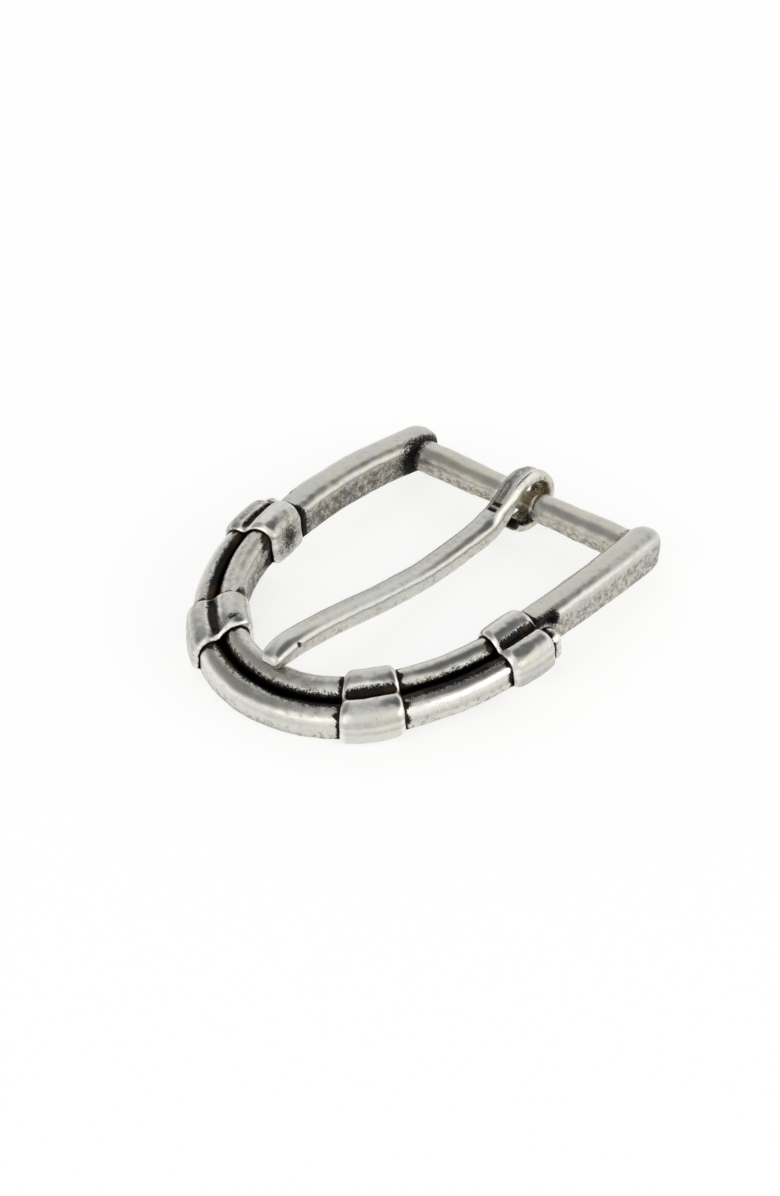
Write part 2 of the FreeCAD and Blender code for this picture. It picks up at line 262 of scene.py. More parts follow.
# ---------------------------------------------------------------- materials
def silver(name, slot_name, tone, rough):
    """Antique silver: bright metal with grey-brown speckle, black patina, a dark film that also
    carries painted shade and painted dark reflections, wear that also carries painted highlights, and
    painted glints.

    Each is laid on by a field of the mesh and broken up by noise at 4, 0.8 and 0.2 mm.
    """
    m = bpy.data.materials.new(name)
    m.use_nodes = True
    nodes, links = m.node_tree.nodes, m.node_tree.links
    nodes.clear()

    def node(kind, **settings):
        n = nodes.new(kind)
        for key, value in settings.items():
            if hasattr(n, key):
                setattr(n, key, value)
            else:
                n.inputs[key].default_value = value
        return n

    def field(attribute):
        return node("ShaderNodeAttribute", attribute_name=attribute).outputs["Fac"]

    def noise(scale, detail, roughness=0.55):
        n = node("ShaderNodeTexNoise", Scale=scale, Detail=detail, Roughness=roughness)
        links.new(coords, n.inputs["Vector"])
        return n.outputs["Fac"]

    def maths(operation, a, b=None, clamp=False):
        n = node("ShaderNodeMath", operation=operation, use_clamp=clamp)
        for socket, value in zip(n.inputs, (a, b)):
            if value is None:
                continue
            if isinstance(value, (int, float)):
                socket.default_value = value
            else:
                links.new(value, socket)
        return n.outputs[0]

    def band(value, low, high, to_low=0.0, to_high=1.0):
        n = node("ShaderNodeMapRange", interpolation_type="SMOOTHSTEP")
        links.new(value, n.inputs["Value"])
        n.inputs["From Min"].default_value = low
        n.inputs["From Max"].default_value = high
        n.inputs["To Min"].default_value = to_low
        n.inputs["To Max"].default_value = to_high
        return n.outputs["Result"]

    def mix(factor, a, b):
        n = node("ShaderNodeMix", data_type="RGBA")
        for socket, value in ((n.inputs[0], factor), (n.inputs[6], a), (n.inputs[7], b)):
            if isinstance(value, tuple):
                socket.default_value = (*value, 1.0)
            else:
                links.new(value, socket)
        return n.outputs[2]

    coords = node("ShaderNodeTexCoord").outputs["Object"]
    broad = noise(250, 3)          # scales are waves per metre
    medium = noise(1250, 5, 0.65)
    fine = noise(4600, 3, 0.6)

    ragged = maths("ADD", maths("MULTIPLY", medium, 1.2), maths("MULTIPLY", fine, 0.9))
    ragged = maths("SUBTRACT", ragged, 1.05)
    border = maths("ADD", maths("MULTIPLY", medium, 0.65), maths("MULTIPLY", fine, 1.55))
    black = band(maths("ADD", field("patina"), border), 1.38, 1.82)
    film_and_painted_shade = maths("MULTIPLY", field("film_and_painted_shade"), band(ragged, -0.30, 0.20, 0.30, 1.0), clamp=True)
    spots = maths("ADD", ragged, maths("MULTIPLY", field("speckle"), 0.42))
    speckle = band(spots, 0.16, 0.62, 0.0, 0.85)

    cool = tuple(t * k for t, k in zip(tone, (0.97, 0.985, 1.01)))
    warm = tuple(t * k for t, k in zip(tone, (1.05, 1.02, 0.965)))
    colour = mix(band(broad, 0.36, 0.64), cool, warm)
    colour = mix(band(ragged, -0.30, 0.30, 0.0, 0.15), colour, tuple(t * 0.62 for t in tone))
    colour = mix(field("brass"), colour, (0.78, 0.69, 0.45))
    # pale cream for wear, and for painted highlights
    colour = mix(field("wear_and_painted_highlight"), colour, (0.88, 0.86, 0.81))
    colour = mix(speckle, colour, (0.200, 0.158, 0.118))
    # dark grey for the dull film, and for painted shade and painted dark reflections
    colour = mix(film_and_painted_shade, colour, (0.115, 0.104, 0.092))
    # painted glints: bright grains where the patina thins out
    begun, full = band(field("patina"), 0.18, 0.42), band(field("patina"), 0.58, 0.84)
    thin = maths("SUBTRACT", begun, full, clamp=True)
    painted_glints = maths("MULTIPLY", band(noise(6500, 2, 0.5), 0.58, 0.68, 0.0, 0.75), thin)
    brown = band(broad, 0.52, 0.66)
    colour = mix(black, colour, mix(brown, (0.014, 0.0125, 0.0115), (0.052, 0.031, 0.017)))
    colour = mix(painted_glints, colour, (0.70, 0.68, 0.62))

    gloss = band(medium, 0.3, 0.7, rough - 0.04, rough + 0.06)
    gloss = maths("ADD", gloss, maths("MULTIPLY", field("speckle"), 0.22))
    gloss = maths("ADD", gloss, maths("MULTIPLY", speckle, 0.14))
    gloss = maths("ADD", gloss, maths("MULTIPLY", black, 0.05))
    gloss = maths("SUBTRACT", gloss, maths("MULTIPLY", field("wear_and_painted_highlight"), 0.05), clamp=True)

    grit = maths("MULTIPLY", fine, maths("ADD", maths("MULTIPLY", field("patina"), 2.8), 0.18))
    height = maths("ADD", maths("MULTIPLY", medium, 0.32), grit)
    height = maths("ADD", height, maths("MULTIPLY", black, -0.5))
    relief = node("ShaderNodeBump", Strength=0.36, Distance=0.00004)
    links.new(height, relief.inputs["Height"])

    shader = node("ShaderNodeBsdfPrincipled")
    shader.inputs["Metallic"].default_value = 1.0
    links.new(colour, shader.inputs["Base Color"])
    links.new(gloss, shader.inputs["Roughness"])
    links.new(relief.outputs["Normal"], shader.inputs["Normal"])
    out = node("ShaderNodeOutputMaterial")
    links.new(shader.outputs[0], out.inputs["Surface"])
    return {"material": m, "slot": slot_name}


RAIL = silver("rail_antique_silver", "rail_silver", (0.625, 0.617, 0.570), 0.22)
ARM = silver("arm_antique_silver", "arm_silver", (0.595, 0.587, 0.540), 0.24)
COLLAR = silver("collar_antique_silver", "collar_silver", (0.625, 0.618, 0.575), 0.21)
CROSSBAR = silver("crossbar_antique_silver", "crossbar_silver", (0.605, 0.590, 0.530), 0.23)
PRONG = silver("prong_antique_silver", "prong_silver", (0.635, 0.627, 0.585), 0.21)


# ---------------------------------------------------------------- rails
SEAMS = []
for c in (REAR_COLLAR, FRONT_COLLAR, 2 * HALF - FRONT_COLLAR, 2 * HALF - REAR_COLLAR):
    SEAMS += [c - COLLAR_HALF, c + COLLAR_HALF]


def seam_dark(along, reach):
    """1 beside each collar's end, fading over the reach."""
    distance = np.min([np.abs(along - s) for s in SEAMS], axis=0)
    return 1.0 - smooth(distance / reach, 0.2, 1.0)


def between(along, marks, values):
    return np.interp(along, marks, values)


ZONES = [REAR_COLLAR, FRONT_COLLAR, HALF - 6, HALF, HALF + 8,
         2 * HALF - FRONT_COLLAR, 2 * HALF - REAR_COLLAR]


def rail_grid(along, across0, width, height):
    across, up, angle = d_ring(width, height)
    a, _ = np.meshgrid(along, across, indexing="ij")
    grid = place(a, across0 + np.broadcast_to(across, a.shape), np.broadcast_to(up, a.shape))
    return grid, a, np.broadcast_to(angle, a.shape)


def inner_rail():
    """Tall rail, black down its outer side, rubbed bright where the prong's tip rests."""
    start, end = REAR_COLLAR + 0.02, 2 * HALF - REAR_COLLAR - 0.02
    along = steps((start, 0.28), (end,))
    grid, a, angle = rail_grid(along, 0.0, INNER_W, INNER_H)
    lumps = 0.035 * waves(grid, 9.0, 11) + 0.015 * waves(grid, 2.6, 12)
    grid = grid + ring_normals(grid) * lumps[..., None]
    edge = between(a, ZONES, [26, 28, 34, 36, 38, 42, 42])
    groove = 1 - smooth(angle, edge - 26, edge + 26)
    groove = np.where(angle > 230, 0.0, groove)
    across, up, _ = d_ring(INNER_W, INNER_H)
    drawn = streaks(across, up, a, 47)
    reach = 0.85 + 0.75 * bump(angle, 20, 70) + 2.2 * smooth(angle, 100, 155)
    seams = seam_dark(a, reach * (1 + 0.45 * drawn))
    under = smooth(angle, 145, 200) * between(a, ZONES, [0.7, 0.6, 0.5, 0.5, 0.6, 0.85, 0.95])
    tip_wear = np.exp(-((a - HALF + 0.4) / 2.0) ** 2) * bump(angle, 118, 45)
    looks = {
        "patina": np.maximum(groove, seams),
        # film: a painted dark reflection along the top, darker down the inner side, and dull streaks
        "film_and_painted_shade": np.clip(0.25 * bump(angle, 75, 30) * (1 - tip_wear) + 0.5 * smooth(angle, 165, 215)
                        + 0.12 * np.maximum(drawn, 0), 0, 1),
        "speckle": np.clip(0.22 + under + 0.5 * bump(groove, 0.4, 0.5), 0, 1),
        "wear_and_painted_highlight": np.clip(0.8 * tip_wear + 0.25 * np.maximum(-drawn, 0) * (1 - seams), 0, 1),
        "brass": 0.6 * tip_wear,
    }
    make_piece("inner_rail_looks", grid, looks, RAIL, "frame", ["inner_rail"])


def outer_rail():
    """Lower rail with round ends that stand just behind the rear collars."""
    nose = 0.4 * OUTER_W
    start = BUTT - OUTER_TAIL + nose
    end = 2 * HALF - start
    along = steps((start, 0.28), (end,))
    dome = np.linspace(math.radians(82), 0, 9)[:-1]
    along = np.concatenate([start - nose * np.sin(dome), along, end + nose * np.sin(dome[::-1])])
    shrink = np.concatenate([np.cos(dome), np.ones(len(along) - 2 * len(dome)), np.cos(dome[::-1])])
    across, up, angle = d_ring(OUTER_W, OUTER_H)
    a = np.repeat(along[:, None], len(across), 1)
    s = shrink[:, None]
    grid = place(a, RAIL_PITCH + across * s, OUTER_H / 2 + (up - OUTER_H / 2) * s)
    angle = np.broadcast_to(angle, a.shape)
    lumps = 0.035 * waves(grid, 9.0, 21) + 0.015 * waves(grid, 2.6, 22)
    grid = grid + ring_normals(grid) * (lumps * s)[..., None]
    edge = between(a, ZONES, [72, 74, 86, 98, 98, 94, 92])
    groove = smooth(angle, edge - 24, edge + 24) * (1 - smooth(angle, 262, 268))
    drawn = streaks(across, up, a, 46)
    reach = 0.80 + 0.75 * bump(angle, 110, 70)
    seams = seam_dark(a, reach * (1 + 0.5 * drawn))
    from_end = np.minimum(a, 2 * HALF - a)
    tail = 1 - smooth(from_end, BUTT - 1.2, BUTT - 0.5)
    # rubbed along the outer shoulder and in streaks, with a painted highlight brightest on the outer
    # side between the right collars
    bright = 0.75 * bump(a, (REAR_COLLAR + FRONT_COLLAR) / 2, 14) * bump(angle, 8, 55)
    rubbed_and_painted_highlight = 0.35 * bump(angle, 25, 50) + bright - 0.35 * np.minimum(drawn, 0)
    low = 1 - smooth(angle, -60, -15)
    looks = {
        "patina": np.maximum(groove, seams) * (1 - tail),
        # film: a painted dark reflection along the top, and dull streaks
        "film_and_painted_shade": 0.3 * bump(angle, 80, 35) + 0.22 * np.maximum(drawn, 0),
        "speckle": np.clip(0.18 + 0.4 * low + 0.4 * bump(groove, 0.4, 0.5), 0, 1),
        "wear_and_painted_highlight": np.clip(rubbed_and_painted_highlight * (1 - seams) + 0.6 * tail, 0, 1),
        "brass": np.zeros_like(a),
    }
    make_piece("outer_rail_looks", grid, looks, RAIL, "frame", ["outer_rail"])


# ---------------------------------------------------------------- collars
def d_distance(u, z, centre, width, height, sole):
    """Signed distance to a round-topped section."""
    half = width / 2
    shoulder = height - half
    dx = np.abs(u - centre)
    cap = np.hypot(dx, z - shoulder) - half
    qx = dx - (half - FOOT_R)
    qz = (FOOT_R - sole) - z
    outside = np.hypot(np.maximum(qx, 0), np.maximum(qz, 0))
    inside = np.minimum(np.maximum(qx, qz), 0)
    return np.where(z > shoulder, cap, outside + inside - FOOT_R)


def cast(origins, directions, distance):
    """Where rays leave a shape, by bisection."""
    low = np.zeros(len(origins))
    high = np.full(len(origins), 7.0)
    for _ in range(40):
        mid = (low + high) / 2
        p = origins + directions * mid[:, None]
        inside = distance(p[:, 0], p[:, 1]) < 0
        low = np.where(inside, mid, low)
        high = np.where(inside, high, mid)
    return low


def blot(a, b, size_a, size_b):
    """Round spot: 1 at the middle, fading outward."""
    return np.exp(-((a / size_a) ** 2 + (b / size_b) ** 2))


def no_smudge(across, up, along):
    return np.zeros_like(along)


def outer_lobe(across):
    return smooth(across, GROOVE + 0.7, GROOVE + 1.3)


def side_smudge(across, up, along):
    """Dark mottled oval on the side that faces into the buckle, and a dull outer lobe."""
    return blot(along, up - 2.8, 2.2, 2.1) * (across < -1.6) + 0.34 * outer_lobe(across)


def top_smudge(across, up, along):
    """Dark spot on top, just behind the front end, and a slightly dull outer lobe."""
    spot = 0.9 * blot(along + 2.1, across + 0.1, 0.62, 1.15) * (up > 4.5)
    return spot + 0.14 * outer_lobe(across)


def collar(name, centre, node, seed, smudge=no_smudge):
    """Ring of metal round both rails, with a groove between its two lobes."""
    spine_a, spine_b = np.array([0.0, 3.0]), np.array([RAIL_PITCH, 2.2])
    t = np.linspace(math.pi / 2, 1.5 * math.pi, 64)[:-1]
    left = [(spine_a, (math.cos(v), math.sin(v))) for v in t]
    floor = [(spine_a + (spine_b - spine_a) * s, (0, -1)) for s in np.linspace(0, 1, 16)[:-1]]
    t = np.linspace(-math.pi / 2, math.pi / 2, 60)[:-1]
    right = [(spine_b, (math.cos(v), math.sin(v))) for v in t]
    top = [(spine_b + (spine_a - spine_b) * s, (0, 1)) for s in np.linspace(0, 1, 46)[:-1]]
    rays = left + floor + right + top
    origin = np.array([r[0] for r in rays])
    direction = np.array([r[1] for r in rays], float)

    def outer_shape(u, z):
        wide_in, wide_out = INNER_W + 2 * COLLAR_WALL, OUTER_W + 2 * COLLAR_WALL
        high_in, high_out = INNER_H + COLLAR_WALL, OUTER_H + COLLAR_WALL
        over_inner = d_distance(u, z, 0.0, wide_in, high_in, COLLAR_SOLE)
        over_outer = d_distance(u, z, RAIL_PITCH, wide_out, high_out, COLLAR_SOLE)
        share = np.clip(0.5 + (over_outer - over_inner) / (2 * COLLAR_FILLET), 0, 1)
        joined = over_outer + (over_inner - over_outer) * share
        joined = joined - COLLAR_FILLET * share * (1 - share)
        return np.where(z > 2.6, joined, np.minimum(over_inner, over_outer))

    def inner_shape(u, z):
        return np.minimum(d_distance(u, z, 0.0, INNER_W, INNER_H, 0.0),
                          d_distance(u, z, RAIL_PITCH, OUTER_W, OUTER_H, 0.0)) - 0.03

    far = cast(origin, direction, outer_shape)
    near = cast(origin, direction, inner_shape)
    u_out = origin[:, 0] + direction[:, 0] * far
    z_out = origin[:, 1] + direction[:, 1] * far
    on_top = z_out > 3.6
    valley = np.exp(-((u_out - GROOVE) / 0.58) ** 2) * on_top

    # path round the wall's section: along the ring, and depth below the outer surface
    flat = COLLAR_HALF - COLLAR_EDGE
    arc = np.linspace(0, math.pi / 2, 9)
    path = [(s, 0.0) for s in np.linspace(-flat, flat, 29)]
    path += [(flat + COLLAR_EDGE * math.sin(v), COLLAR_DROP * (1 - math.cos(v))) for v in arc[1:]]
    path += [(COLLAR_HALF, 0.86), (COLLAR_HALF, COLLAR_THROUGH)]
    path += [(s, COLLAR_THROUGH) for s in np.linspace(COLLAR_HALF, -COLLAR_HALF, 13)[1:-1]]
    path += [(-COLLAR_HALF, COLLAR_THROUGH), (-COLLAR_HALF, 0.86)]
    path += [(-flat - COLLAR_EDGE * math.sin(v), COLLAR_DROP * (1 - math.cos(v)))
             for v in arc[1:][::-1]]
    path = np.array(path)
    s_grid = np.repeat(path[:, 0][:, None], len(far), 1)
    depth = np.minimum(path[:, 1][:, None], (far - near)[None, :])
    skin = (path[:, 1] < 0.8)[:, None] & np.ones_like(s_grid, bool)
    from_middle = np.abs(s_grid)
    pillow = COLLAR_PILLOW * (s_grid / COLLAR_HALF) ** 2 * skin
    carved = GROOVE_DEPTH * valley[None, :] * (1 - smooth(from_middle, 2.4, 3.1)) * skin
    radius = far[None, :] - depth - pillow - carved
    radius = np.maximum(radius, near[None, :])
    u = origin[:, 0] + direction[:, 0] * radius
    z = origin[:, 1] + direction[:, 1] * radius
    along = centre + s_grid
    grid = place(along, u, z)
    lumps = 0.028 * waves(grid, 5.0, seed) + 0.010 * waves(grid, 1.7, 41)
    normal = ring_normals(grid, True)
    middle = place(along, np.full_like(u, 1.78), np.full_like(u, 2.6))
    if (normal * (grid - middle))[path[:, 1] < 0.01].sum() < 0:
        normal = -normal
    calm = skin * (1 - smooth(from_middle, flat, COLLAR_HALF))
    grid = grid + normal * (lumps * calm)[..., None]

    from_groove = np.abs(u_out - GROOVE)
    groove = (np.exp(-(from_groove / 0.84) ** 3) * on_top)[None, :]
    groove = groove * (1 - smooth(from_middle, 2.85, 3.35)) * skin
    rim = (np.exp(-((from_groove - 0.98) / 0.22) ** 2) * on_top)[None, :] * skin
    end = smooth(from_middle, COLLAR_HALF - 0.22, COLLAR_HALF - 0.02) * smooth(depth, 0.40, 0.72)
    edge_rim = bump(from_middle, COLLAR_HALF - 0.30, 0.5) * skin
    drawn = streaks(u_out[None, :], z_out[None, :], s_grid + centre, 45) * skin
    dull = smudge(u, z, s_grid)
    looks = {
        "patina": np.clip(np.maximum.reduce([groove, end, 0.82 * dull]), 0, 1),
        "film_and_painted_shade": np.clip(0.75 * dull + 0.24 * np.maximum(drawn, 0), 0, 1),
        "speckle": 0.10 + 0.4 * smooth(-z, -3.0, -1.0) * (u < 0) + 0.8 * dull,
        "wear_and_painted_highlight": np.clip(0.7 * rim + 0.7 * edge_rim + 0.35 * np.maximum(-drawn, 0), 0, 1),
        "brass": np.zeros_like(u),
    }
    make_piece(name, grid, looks, COLLAR, "frame", [node], wrap_rows=True)


# ---------------------------------------------------------------- arms
def box_ring(outer_r, inner_r, foot_r, crown):
    """Section of a side arm, as shares of its half width and height: flat sides, crowned top.

    Returns across, up and a name for the part of the section: 0 outer side, 1 top, 2 inner side,
    3 underside, with the corners in between.
    """
    w, h = ARM_W / 2, ARM_H_BAR / 2
    corners = [(w - outer_r, h - outer_r, outer_r, 0), (-w + inner_r, h - inner_r, inner_r, 90),
               (-w + foot_r, -h + foot_r, foot_r, 180), (w - foot_r, -h + foot_r, foot_r, 270)]
    across, up, part = [], [], []
    counts = [14, 12, 8, 10]
    for i, (cx, cz, r, start) in enumerate(corners):
        for v in np.linspace(0, 90, 9 if i < 2 else 6):
            across.append(cx + r * math.cos(math.radians(start + v)))
            up.append(cz + r * math.sin(math.radians(start + v)))
            part.append(i + v / 90)
        nx, nz, nr, ns = corners[(i + 1) % 4]
        ax, az = across[-1], up[-1]
        bx = nx + nr * math.cos(math.radians(ns))
        bz = nz + nr * math.sin(math.radians(ns))
        for k in range(1, counts[i]):
            t = k / counts[i]
            across.append(ax + (bx - ax) * t)
            up.append(az + (bz - az) * t)
            part.append(i + 1.0)
    across, up, part = map(np.array, (across, up, part))
    up = up - np.where(up > 0, crown * (across / w) ** 2 * np.clip(up / h, 0, 1), 0)
    across = across * (1 - 0.02 * (up / h) ** 2)
    return across / w, up / h, part % 4


def arm(side, name, node):
    """side is +1 for the right arm and -1 for the left one."""
    across, up, part = box_ring(1.0, 2.35, 0.8, 0.45) if side > 0 else box_ring(1.9, 1.3, 0.8, 0.45)
    t = np.radians(np.linspace(5, 86, 22))
    ahead = steps((0.2, 0.4), (21.5, 0.16), (BUTT - 0.12,))
    along = np.concatenate([-ARM_EYE * np.cos(t), ahead])
    ball = np.concatenate([np.sin(t), np.ones(len(ahead))])
    plan = np.concatenate([(1 - np.cos(t) ** 2.7) ** (1 / 2.05), np.ones(len(ahead))])
    high = ARM_H_BAR + (ARM_H_COLLAR - ARM_H_BAR) * np.clip(along, 0, BUTT) / BUTT
    # shoulder at the collar, then the tenon
    butt_along = np.array([BUTT - 0.05, BUTT - 0.02, BUTT, BUTT])
    butt_size = np.array([0.985, 0.95, 0.90, 0.80])
    along = np.concatenate([along, butt_along, [BUTT + 0.02, BUTT + 1.5, REAR_COLLAR - 0.1]])
    size = np.concatenate([np.ones(len(ball)), butt_size, [0.66, 0.66, 0.66]])
    ball = np.concatenate([ball, np.ones(7)])
    plan = np.concatenate([plan, np.ones(7)])
    high = np.concatenate([high, np.full(7, ARM_H_COLLAR)])
    a = np.repeat(along[:, None], len(across), 1)
    # toward the eye's end the section becomes an oval
    around = np.arctan2(up, across)
    oval = 0.75 * smooth(-a, 0.6, ARM_EYE)
    across = across + (np.cos(around) - across) * oval
    up = up + (np.sin(around) - up) * oval
    w = across * (ARM_W / 2 * plan * size)[:, None]
    mid = (high / 2)[:, None]
    h = mid + up * (high / 2 * ball * size)[:, None]
    w_out = ARM_OUTSET + w
    # room for the outer rail's end in the outer side
    relief = RELIEF_DEPTH * smooth(a, RELIEF_START - 0.2, RELIEF_START + 0.9)
    limit = ARM_W / 2 + ARM_OUTSET - relief
    low_enough = 1 - smooth(h, OUTER_H + 0.1, OUTER_H + 0.9)
    cut = np.maximum(w_out - limit, 0) * low_enough
    w_out = w_out - cut
    grid = place(a, w_out, h)
    lumps = 0.03 * waves(grid, 8.0, 51 + side) + 0.012 * waves(grid, 2.2, 52 + side)
    calm = (ball * (along < BUTT - 0.2))[:, None]
    grid = grid + ring_normals(grid) * (lumps * calm)[..., None]
    sides = smooth(np.abs(across), 0.55, 0.95) * (1 - smooth(h, 3.0, 4.6))
    butt_reach = 0.8 if side > 0 else 0.8 + 1.2 * smooth(-across, 0.2, 0.9)
    near_butt = smooth(a, BUTT - butt_reach, BUTT - 0.2)
    line_width = 0.13 + 0.40 * (1 - a / BUTT)
    ridge_line = np.exp(-((w / plan[:, None] - 1.50) / line_width) ** 2) * (h > 3.4)
    ridge_line = ridge_line * (0.15 + 0.75 * np.clip(a / BUTT, 0, 1))
    pocket = smooth(a, RELIEF_START - 1.3, RELIEF_START + 0.3) * smooth(across, 0.35, 0.6)
    pocket = pocket * (1 - smooth(h, 4.7, 5.4)) * smooth(h, 2.2, 3.6)
    joint_reach, joint_dark = (4.3, 1.65) if side < 0 else (1.3, 0.5)
    joint = joint_dark * blot(a - 0.2, h - 2.3, joint_reach, 3.2) * smooth(-across, 0.2, 0.8)
    looks = {
        "patina": np.clip(np.maximum.reduce([near_butt, pocket, joint]), 0, 1),
        "film_and_painted_shade": np.clip(ridge_line + 0.18 * sides if side > 0 else 0.62 * sides, 0, 1),
        "speckle": np.clip(0.12 + (0.64 if side > 0 else 1.0) * sides, 0, 1),
        "wear_and_painted_highlight": 0.30 * bump(part, 0.30, 0.55) * np.ones_like(a),
        "brass": np.zeros_like(a),
    }
    if side < 0:
        grid = grid * np.array([1, -1, 1])
    make_piece(name, grid, looks, ARM, "frame", [node])


# ---------------------------------------------------------------- crossbar
BAR_R = 2.3
NECK_R = 1.5
NECK_HALF = 2.3
SHOULDER_Y = 3.5
BAR_HALF = 18.5
TENON_R = 1.6
TENON_HALF = 20.5
ARM_FACE = LINE_Y + ARM_OUTSET - ARM_W / 2


def crossbar():
    """Round bar with a thin waist for the prong's loop and a tenon at each end."""
    right = steps((0.0, 0.3), (NECK_HALF - 0.3, 0.08), (SHOULDER_Y + 0.6, 0.4), (BAR_HALF, 0.1),
                  (BAR_HALF + 0.3, 0.6), (TENON_HALF - 0.2, 0.1), (TENON_HALF,))
    y = np.concatenate([-right[:0:-1], right])
    r = np.abs(y)
    body = BAR_R - 0.2 * (1 - smooth(r, 3.0, 15.0))
    shoulder = np.clip((r - NECK_HALF) / (SHOULDER_Y - NECK_HALF), 0, 1)
    neck = NECK_R + (body - NECK_R) * np.sqrt(np.clip(1 - (1 - shoulder) ** 2, 0, 1))
    stepped = body + (TENON_R - body) * smooth(r, BAR_HALF, BAR_HALF + 0.2)
    radius = np.where(r > BAR_HALF, stepped, neck)
    radius = radius * np.where(r > TENON_HALF - 0.15, 0.93, 1.0)
    count = 64
    t = np.linspace(0, 2 * math.pi, count, endpoint=False)
    grid = np.stack([
        BAR_X + radius[:, None] * np.cos(t),
        np.repeat(y[:, None], count, 1),
        BAR_Z + radius[:, None] * np.sin(t),
    ], -1)
    lumps = 0.03 * waves(grid, 7.0, 61) + 0.015 * waves(grid, 2.0, 62)
    calm = (r < ARM_FACE)[:, None] * smooth(r, NECK_HALF, SHOULDER_Y)[:, None]
    grid = grid + ring_normals(grid) * (lumps * calm)[..., None]
    rr = r[:, None] * np.ones((1, count))
    under = smooth(-np.sin(t), -0.75, 0.2)[None, :]
    waist = 1 - smooth(rr, NECK_HALF - 0.1, SHOULDER_Y - 0.4)
    yy = y[:, None] * np.ones((1, count))
    left_seam = smooth(-yy, ARM_FACE - 1.3, ARM_FACE)
    right_seam = smooth(yy, ARM_FACE - 0.5, ARM_FACE + 0.3)
    corner = 0.5 * bump(rr, 2.4, 0.5)
    looks = {
        "patina": np.clip(np.maximum.reduce([0.62 * left_seam, 0.45 * right_seam, corner]), 0, 1),
        "film_and_painted_shade": np.zeros_like(rr),
        "speckle": np.clip(0.14 + 0.74 * under + 0.15 * waist, 0, 1),
        "wear_and_painted_highlight": 0.5 * bump(rr, SHOULDER_Y - 0.3, 0.7),
        "brass": 0.85 * waist,
    }
    make_piece("crossbar_looks", grid, looks, CROSSBAR, "frame", ["crossbar"])


# ---------------------------------------------------------------- prong
PRONG_W = 3.9
PRONG_T = 3.5
TIP_W = 3.0
TIP_T = 1.9
STRAP_W = 3.6
STRAP_T = 1.5
STRAP_SHIFT = 0.5        # the strap lies this far to the right of the shank
LOOP_X = 0.52
LOOP_Z = 0.69
LOOP_LENGTH = 4.27
LOOP_HEIGHT = 3.6
LOOP_START = math.radians(48.0)
LOOP_END = math.radians(342.0)
SHANK = [(6.2, 0.75), (12.0, -0.44), (20.0, -0.43), (31.0, 1.04), (43.0, 3.35), (49.5, 4.03),
         (53.5, 3.73)]       # ahead of the crossbar's axis and above it
TIP_SLOPE = (0.991, -0.132)
SHANK_GAP = 0.16         # between the shank's rings
BLEND = 5.5              # length over which the strap swells into the shank
TIP_LENGTH = 4.0
TAIL_DOME = 0.5
TIP_DOME = 0.9
MARKS = (2.3, 3.4)       # two short dents across the strap where it runs into the shank
MARK_Y = -0.15
# small pits: ahead of the crossbar's axis, to the right, above the axis, and size
PITS = [(49.0, 1.69, 4.89, 0.46), (38.2, 1.91, 2.97, 0.15), (41.9, 1.92, 2.67, 0.12),
        (43.5, 0.9, 4.9, 0.12)]


def spline(points, first, last, gap):
    """Smooth curve through points with given end slopes, sampled about every gap."""
    p = np.array(points, float)
    chord = np.linalg.norm(np.diff(p, axis=0), axis=1)
    n = len(p)
    m = np.zeros((n, n))
    rhs = np.zeros((n, 2))
    m[0, 0] = m[-1, -1] = 1.0
    rhs[0], rhs[-1] = first, last
    for i in range(1, n - 1):
        before, after = chord[i - 1], chord[i]
        m[i, i - 1] = after
        m[i, i] = 2 * (before + after)
        m[i, i + 1] = before
        rhs[i] = 3 * (after * (p[i] - p[i - 1]) / before + before * (p[i + 1] - p[i]) / after)
    slope = np.linalg.solve(m, rhs)
    out = []
    for i in range(n - 1):
        count = max(2, int(round(chord[i] / gap)))
        for k in range(count):
            t = k / count
            leaving = (t ** 3 - 2 * t ** 2 + t) * chord[i] * slope[i]
            arriving = (t ** 3 - t ** 2) * chord[i] * slope[i + 1]
            out.append((2 * t ** 3 - 3 * t ** 2 + 1) * p[i] + leaving
                       + (3 * t ** 2 - 2 * t ** 3) * p[i + 1] + arriving)
    out.append(p[-1])
    return np.array(out)


def rounded_end(from_end, reach):
    """Share of the full section near a rounded end."""
    return np.sqrt(np.clip(1 - (1 - np.minimum(1.0, (from_end + 0.02) / reach)) ** 2, 0, 1))


